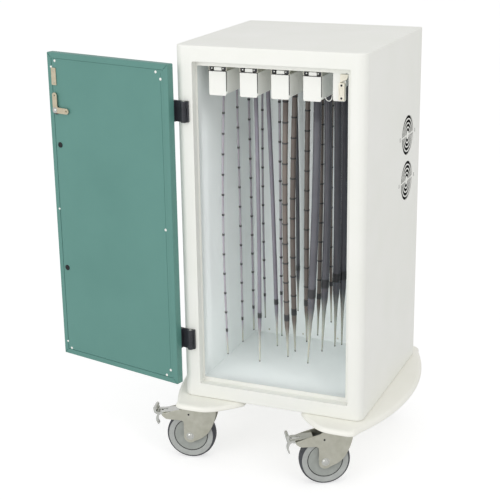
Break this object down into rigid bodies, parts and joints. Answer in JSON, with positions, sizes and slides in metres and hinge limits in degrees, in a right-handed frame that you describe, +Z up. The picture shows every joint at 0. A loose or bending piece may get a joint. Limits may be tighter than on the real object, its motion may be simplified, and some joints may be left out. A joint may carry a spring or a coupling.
{
  "type": "mobile dilator storage cabinet",
  "caption": "Mobile storage cabinet on casters: hinged door with turn lock, pull-out ceiling carriages of hanging dilators, side fans and bumper wings.",
  "frame": {"origin": "on the floor, under the middle of the outline with the door open", "axes": "+Z up; the cabinet's front faces -Y, and the door is hinged on its -X side"},
  "size_m": [0.9019, 0.582, 1.052],
  "materials": {
    "white_enamel": "gloss powder coat",
    "wing_plastic": "semi-gloss moulded plastic",
    "teal_enamel": "satin powder coat",
    "black_plastic": "satin",
    "zinc_steel": "satin zinc plate",
    "tyre_grey": "grey rubber on a grey plastic centre",
    "dilator_plastic": "translucent grey-violet plastic with black bands",
    "catch_plastic": "satin"
  },
  "bodies": {
    "cabinet": {"front_frame": "white_enamel", "side_panel_left": "white_enamel", "side_panel_right": "white_enamel", "top_panel": "white_enamel", "bottom_pan": "white_enamel", "back_panel": "white_enamel", "inner_liner": "white_enamel", "wing_left": "wing_plastic", "wing_right": "wing_plastic", "hinge_leaf_frame_upper": "black_plastic", "hinge_leaf_frame_lower": "black_plastic", "strike_bracket": "white_enamel", "magnet_catch": "catch_plastic", "fan_housing_upper": "black_plastic", "fan_housing_lower": "black_plastic", "slide_rail_1": "zinc_steel", "slide_rail_2": "zinc_steel", "slide_rail_3": "zinc_steel", "slide_rail_4": "zinc_steel"},
    "door": {"door_pan": "teal_enamel", "door_inner_panel": "teal_enamel", "door_strike_plate": "zinc_steel", "lock_tube": "black_plastic", "pull_handle": "zinc_steel", "hinge_leaf_door_upper": "black_plastic", "hinge_leaf_door_lower": "black_plastic"},
    "lock": {"lock_knob": "zinc_steel", "lock_cam": "zinc_steel"},
    "carriage_1": {"carriage_1": "white_enamel", "dilator_1_1": "dilator_plastic", "dilator_1_2": "dilator_plastic", "dilator_1_3": "dilator_plastic", "dilator_1_4": "dilator_plastic"},
    "carriage_2": {"carriage_2": "white_enamel", "dilator_2_1": "dilator_plastic", "dilator_2_2": "dilator_plastic", "dilator_2_3": "dilator_plastic", "dilator_2_4": "dilator_plastic"},
    "carriage_3": {"carriage_3": "white_enamel", "dilator_3_1": "dilator_plastic", "dilator_3_2": "dilator_plastic", "dilator_3_3": "dilator_plastic", "dilator_3_4": "dilator_plastic"},
    "carriage_4": {"carriage_4": "white_enamel", "dilator_4_1": "dilator_plastic", "dilator_4_2": "dilator_plastic", "dilator_4_3": "dilator_plastic", "dilator_4_4": "dilator_plastic"},
    "caster_front_left": {"caster_fork_front_left": "zinc_steel"},
    "wheel_front_left": {"caster_wheel_front_left": "tyre_grey"},
    "pedal_front_left": {"brake_pedal_front_left": "zinc_steel"},
    "caster_front_right": {"caster_fork_front_right": "zinc_steel"},
    "wheel_front_right": {"caster_wheel_front_right": "tyre_grey"},
    "pedal_front_right": {"brake_pedal_front_right": "zinc_steel"},
    "caster_rear_left": {"caster_fork_rear_left": "zinc_steel"},
    "wheel_rear_left": {"caster_wheel_rear_left": "tyre_grey"},
    "caster_rear_right": {"caster_fork_rear_right": "zinc_steel"},
    "wheel_rear_right": {"caster_wheel_rear_right": "tyre_grey"},
    "rotor_upper": {"fan_rotor_upper": "black_plastic"},
    "rotor_lower": {"fan_rotor_lower": "black_plastic"}
  },
  "joints": [
    {"name": "door_swing", "type": "hinge", "parent": "cabinet", "child": "door", "pos_m": [-0.0516, -0.2377, 0.614], "axis": [0, 0, 1], "range_deg": [0, 193]},
    {"name": "lock_turn", "type": "hinge", "parent": "door", "child": "lock", "pos_m": [-0.42665, -0.17164, 0.868], "axis": [-0.225, -0.9744, 0], "range_deg": [0, 90]},
    {"name": "carriage_slide_1", "type": "slide", "parent": "cabinet", "child": "carriage_1", "axis": [0, 1, 0], "range_m": [-0.24, 0]},
    {"name": "carriage_slide_2", "type": "slide", "parent": "cabinet", "child": "carriage_2", "axis": [0, 1, 0], "range_m": [-0.24, 0]},
    {"name": "carriage_slide_3", "type": "slide", "parent": "cabinet", "child": "carriage_3", "axis": [0, 1, 0], "range_m": [-0.24, 0]},
    {"name": "carriage_slide_4", "type": "slide", "parent": "cabinet", "child": "carriage_4", "axis": [0, 1, 0], "range_m": [-0.24, 0]},
    {"name": "caster_swivel_front_left", "type": "hinge", "parent": "cabinet", "child": "caster_front_left", "pos_m": [-0.021, -0.2, 0.158], "axis": [0, 0, 1], "continuous": true},
    {"name": "wheel_spin_front_left", "type": "hinge", "parent": "caster_front_left", "child": "wheel_front_left", "pos_m": [-0.0679, -0.21023, 0.0625], "axis": [0.213, -0.977, 0], "continuous": true},
    {"name": "brake_press_front_left", "type": "hinge", "parent": "caster_front_left", "child": "pedal_front_left", "pos_m": [-0.10112, -0.21747, 0.121], "axis": [0.213, -0.977, 0], "range_deg": [0, 12]},
    {"name": "caster_swivel_front_right", "type": "hinge", "parent": "cabinet", "child": "caster_front_right", "pos_m": [0.335, -0.2, 0.158], "axis": [0, 0, 1], "continuous": true},
    {"name": "wheel_spin_front_right", "type": "hinge", "parent": "caster_front_right", "child": "wheel_front_right", "pos_m": [0.29302, -0.22327, 0.0625], "axis": [0.4848, -0.8746, 0], "continuous": true},
    {"name": "brake_press_front_right", "type": "hinge", "parent": "caster_front_right", "child": "pedal_front_right", "pos_m": [0.26328, -0.23975, 0.121], "axis": [0.4848, -0.8746, 0], "range_deg": [0, 12]},
    {"name": "caster_swivel_rear_left", "type": "hinge", "parent": "cabinet", "child": "caster_rear_left", "pos_m": [-0.021, 0.2, 0.158], "axis": [0, 0, 1], "continuous": true},
    {"name": "wheel_spin_rear_left", "type": "hinge", "parent": "caster_rear_left", "child": "wheel_rear_left", "pos_m": [-0.069, 0.2, 0.0625], "axis": [0, -1, 0], "continuous": true},
    {"name": "caster_swivel_rear_right", "type": "hinge", "parent": "cabinet", "child": "caster_rear_right", "pos_m": [0.335, 0.2, 0.158], "axis": [0, 0, 1], "continuous": true},
    {"name": "wheel_spin_rear_right", "type": "hinge", "parent": "caster_rear_right", "child": "wheel_rear_right", "pos_m": [0.287, 0.2, 0.0625], "axis": [0, -1, 0], "continuous": true},
    {"name": "fan_spin_upper", "type": "hinge", "parent": "cabinet", "child": "rotor_upper", "pos_m": [0.374, 0.116, 0.801], "axis": [1, 0, 0], "continuous": true},
    {"name": "fan_spin_lower", "type": "hinge", "parent": "cabinet", "child": "rotor_lower", "pos_m": [0.374, 0.116, 0.6855], "axis": [1, 0, 0], "continuous": true}
  ]
}
